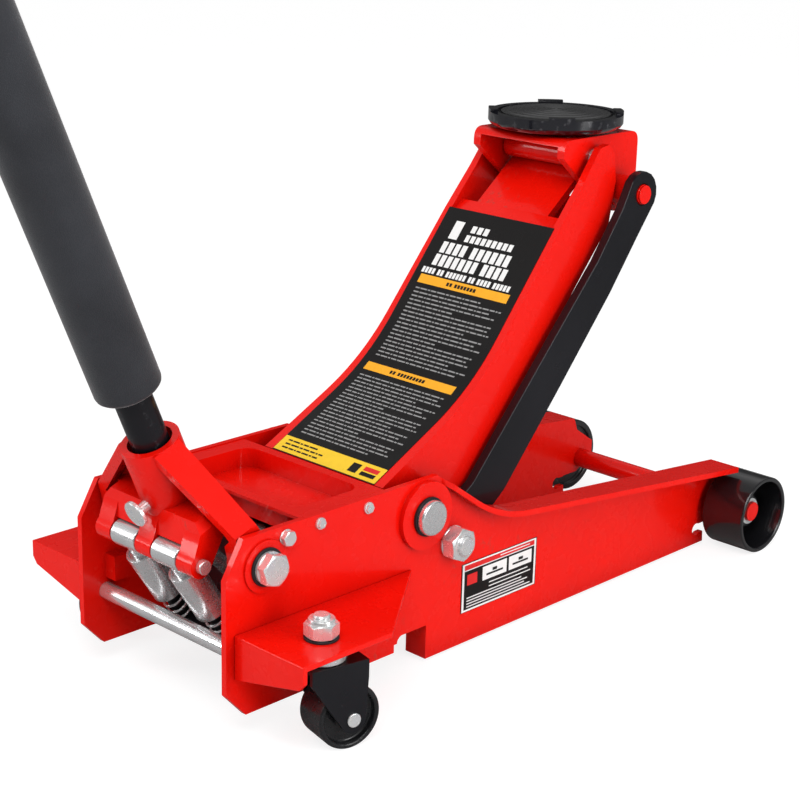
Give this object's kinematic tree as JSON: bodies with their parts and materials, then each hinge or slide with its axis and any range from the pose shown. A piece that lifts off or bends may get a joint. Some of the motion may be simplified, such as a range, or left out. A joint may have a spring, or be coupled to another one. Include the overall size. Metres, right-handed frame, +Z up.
{
  "type": "hydraulic floor jack",
  "caption": "Low hydraulic floor jack: two side plates on front wheels and rear casters, a pumped lift arm with parallel links, a turning saddle and a long handle.",
  "frame": {"origin": "on the floor, under the middle of the overall box, on the plane midway between the side plates", "axes": "+X towards the front wheels, +Y to the left of someone who faces the front, +Z up"},
  "size_m": [1.2004, 0.382, 1.2521],
  "materials": {
    "red_paint": "glossy red powder coat",
    "black_paint": "semi-gloss black enamel",
    "wheel_black": "glossy black enamel on cast wheels",
    "bright_steel": "turned and polished steel",
    "zinc_plate": "bright zinc plated steel",
    "oxide_steel": "black oxide steel",
    "foam": "dense closed-cell foam sleeve",
    "grip_rubber": "moulded rubber",
    "pad_rubber": "moulded rubber pad",
    "caster_plastic": "hard black nylon caster wheel",
    "label": null
  },
  "bodies": {
    "frame": {"side_plate_right": "red_paint", "side_plate_left": "red_paint", "caster_bracket_right": "red_paint", "caster_bracket_left": "red_paint", "rear_tie_rod": "bright_steel", "front_axle": "red_paint", "wheel_rings": "zinc_plate", "main_shaft": "bright_steel", "shaft_rings": "oxide_steel", "link_studs": "zinc_plate", "link_nuts": "zinc_plate", "tool_tray": "red_paint", "tray_screws": "zinc_plate", "unit_bolts": "zinc_plate", "caster_studs": "zinc_plate", "caster_washers": "oxide_steel", "caster_nuts": "zinc_plate", "swivel_bearings": "zinc_plate", "hydraulic_block": "black_paint", "reservoir": "black_paint", "ram_cylinder": "black_paint", "pump_barrels": "black_paint", "pump_springs": "bright_steel", "filler_plug": "zinc_plate", "safety_valve": "zinc_plate", "yoke_bolts": "zinc_plate", "yoke_washers": "oxide_steel", "side_decal": "label"},
    "front_wheel_right": {"front_wheel_right": "wheel_black"},
    "front_wheel_left": {"front_wheel_left": "wheel_black"},
    "caster_fork_right": {"caster_fork_right": "black_paint", "caster_axle_right": "zinc_plate"},
    "caster_fork_left": {"caster_fork_left": "black_paint", "caster_axle_left": "zinc_plate"},
    "caster_wheel_right": {"caster_wheel_right": "caster_plastic"},
    "caster_wheel_left": {"caster_wheel_left": "caster_plastic"},
    "lift_arm": {"lift_arm": "red_paint", "arm_pin": "bright_steel", "ram_cross_bar": "bright_steel", "arm_decal": "label"},
    "link_right": {"link_right": "black_paint"},
    "link_left": {"link_left": "black_paint"},
    "saddle_carrier": {"saddle_carrier": "red_paint", "link_pins": "red_paint"},
    "saddle": {"saddle": "black_paint", "saddle_pad": "pad_rubber"},
    "ram": {"ram_piston": "bright_steel"},
    "yoke": {"yoke": "red_paint", "roller_pin": "bright_steel", "lock_bolt": "zinc_plate"},
    "roller_right": {"roller_right": "bright_steel"},
    "roller_left": {"roller_left": "bright_steel"},
    "pump_pistons": {"pump_plungers": "bright_steel", "spring_cups": "bright_steel"},
    "handle": {"lower_tube": "black_paint", "upper_tube": "black_paint", "foam_sleeve": "foam", "end_grip": "grip_rubber"},
    "spring_button": {"spring_button": "zinc_plate"},
    "release_valve": {"release_valve": "bright_steel"}
  },
  "joints": [
    {"name": "front_wheel_right_spin", "type": "hinge", "parent": "frame", "child": "front_wheel_right", "pos_m": [0.55718, 0, 0.043], "axis": [0, 1, 0], "continuous": true},
    {"name": "front_wheel_left_spin", "type": "hinge", "parent": "frame", "child": "front_wheel_left", "pos_m": [0.55718, 0, 0.043], "axis": [0, 1, 0], "continuous": true},
    {"name": "caster_right_swivel", "type": "hinge", "parent": "frame", "child": "caster_fork_right", "pos_m": [-0.10982, -0.157, 0.09], "axis": [0, 0, 1], "continuous": true},
    {"name": "caster_wheel_right_spin", "type": "hinge", "parent": "caster_fork_right", "child": "caster_wheel_right", "pos_m": [-0.09131, -0.16127, 0.03], "axis": [0.225, 0.9744, 0], "continuous": true},
    {"name": "caster_left_swivel", "type": "hinge", "parent": "frame", "child": "caster_fork_left", "pos_m": [-0.10982, 0.157, 0.09], "axis": [0, 0, 1], "continuous": true},
    {"name": "caster_wheel_left_spin", "type": "hinge", "parent": "caster_fork_left", "child": "caster_wheel_left", "pos_m": [-0.09131, 0.16127, 0.03], "axis": [-0.225, 0.9744, 0], "continuous": true},
    {"name": "arm_lift", "type": "hinge", "parent": "frame", "child": "lift_arm", "pos_m": [0.07018, 0, 0.152], "axis": [0, -1, 0], "range_deg": [-59, 3]},
    {"name": "link_right_swing", "type": "hinge", "parent": "frame", "child": "link_right", "pos_m": [0.11018, 0, 0.115], "axis": [0, -1, 0], "range_deg": [-59, 3]},
    {"name": "link_left_swing", "type": "hinge", "parent": "frame", "child": "link_left", "pos_m": [0.11018, 0, 0.115], "axis": [0, -1, 0], "range_deg": [-59, 3]},
    {"name": "saddle_level", "type": "hinge", "parent": "lift_arm", "child": "saddle_carrier", "pos_m": [0.35068, 0, 0.44966], "axis": [0, -1, 0], "range_deg": [-3, 59]},
    {"name": "saddle_turn", "type": "hinge", "parent": "saddle_carrier", "child": "saddle", "pos_m": [0.36068, 0, 0.49065], "axis": [0, 0, 1], "continuous": true},
    {"name": "ram_push", "type": "slide", "parent": "frame", "child": "ram", "axis": [1, 0, 0], "range_m": [-0.0545, 0.003]},
    {"name": "handle_pump", "type": "hinge", "parent": "frame", "child": "yoke", "pos_m": [-0.12682, 0, 0.156], "axis": [0, -1, 0], "range_deg": [0, 45], "stiffness_Nm_per_rad": 20, "springref_deg": -42.97},
    {"name": "roller_right_spin", "type": "hinge", "parent": "yoke", "child": "roller_right", "pos_m": [-0.16632, 0, 0.1555], "axis": [0, 1, 0], "continuous": true},
    {"name": "roller_left_spin", "type": "hinge", "parent": "yoke", "child": "roller_left", "pos_m": [-0.16632, 0, 0.1555], "axis": [0, 1, 0], "continuous": true},
    {"name": "pump_stroke", "type": "slide", "parent": "frame", "child": "pump_pistons", "axis": [0.5388, 0, -0.8425], "range_m": [0, 0.03], "deforming": ["pump_springs"]},
    {"name": "handle_twist", "type": "hinge", "parent": "yoke", "child": "handle", "pos_m": [-0.12682, 0, 0.156], "axis": [-0.3859, 0, 0.9225], "range_deg": [0, 180]},
    {"name": "release_valve_turn", "type": "hinge", "parent": "frame", "child": "release_valve", "pos_m": [-0.12682, 0, 0.156], "axis": [-0.7071, 0, 0.7071], "range_deg": [0, 180]},
    {"name": "spring_button_push", "type": "slide", "parent": "handle", "child": "spring_button", "axis": [0.9225, 0, 0.3859], "range_m": [-0.003, 0], "stiffness_N_per_m": 600, "springref_m": 0.004}
  ],
  "couplings": [
    {"joint": "link_right_swing", "follows": "arm_lift", "ratio": 1},
    {"joint": "link_left_swing", "follows": "arm_lift", "ratio": 1},
    {"joint": "saddle_level", "follows": "arm_lift", "ratio": -1},
    {"joint": "ram_push", "follows": "arm_lift", "m_per_rad": 0.0526},
    {"joint": "pump_stroke", "follows": "handle_pump", "m_per_rad": 0.038},
    {"joint": "release_valve_turn", "follows": "handle_twist", "ratio": 1}
  ]
}
